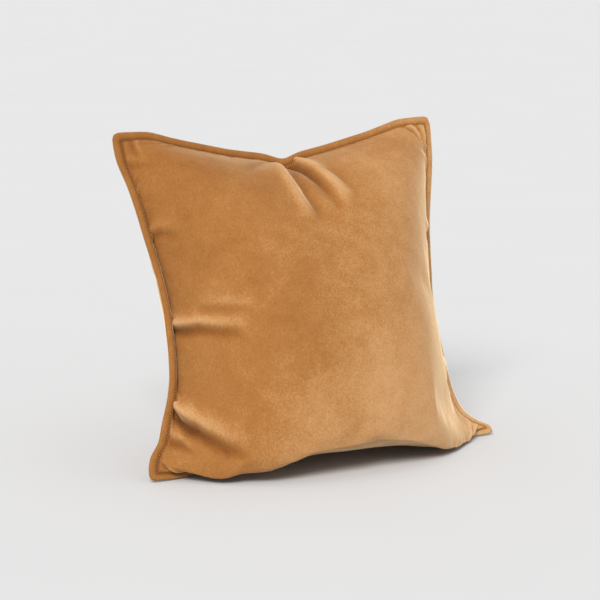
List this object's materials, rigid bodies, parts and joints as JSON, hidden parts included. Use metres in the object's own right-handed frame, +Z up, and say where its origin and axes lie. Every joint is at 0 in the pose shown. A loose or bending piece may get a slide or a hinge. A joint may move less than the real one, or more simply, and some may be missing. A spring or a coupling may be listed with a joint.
{
  "type": "throw pillow",
  "caption": "Square velvet throw pillow with a stitched flange and a concealed zip, standing on its lower edge and leaning back, with a fibre-filled insert inside.",
  "frame": {"origin": "on the surface it stands on, under the middle of the filled pillow's bounding box", "axes": "+Z up; the front faces -Y and leans back towards +Y by 18 degrees; +X to the right as seen from the front"},
  "size_m": [0.49, 0.2704, 0.3988],
  "materials": {
    "velvet": "ochre short-pile velvet",
    "thread": "matching sewing thread",
    "zip_tape": "woven tape",
    "zip_coil": "nylon coil",
    "zip_metal": "satin",
    "lining": "plain cotton",
    "fibre": "loose fibre"
  },
  "bodies": {
    "pillow": {"cover_front_panel": "velvet", "cover_back_panel": "velvet", "topstitch_front_thread": "thread", "topstitch_back_thread": "thread", "rim_seam_thread": "thread", "insert_front_panel": "lining", "insert_back_panel": "lining", "insert_seam_thread": "lining", "fibre_filling": "fibre", "zip_tape_upper": "zip_tape", "zip_tape_lower": "zip_tape", "zip_coil_upper": "zip_coil", "zip_coil_lower": "zip_coil", "zip_thread_upper": "thread", "zip_thread_lower": "thread", "zip_bottom_stop": "zip_metal", "zip_top_stop_upper": "zip_metal", "zip_top_stop_lower": "zip_metal"},
    "slider": {"zip_slider": "zip_metal"},
    "pull_tab": {"zip_pull_tab": "zip_metal"}
  },
  "joints": [
    {"name": "zip_slide", "type": "slide", "parent": "pillow", "child": "slider", "axis": [-1, 0, 0], "range_m": [0, 0.3]},
    {"name": "pull_tab_swing", "type": "hinge", "parent": "slider", "child": "pull_tab", "pos_m": [0.15, -0.01912, 0.02142], "axis": [0, 0.9511, -0.309], "range_deg": [-85, 85]}
  ]
}
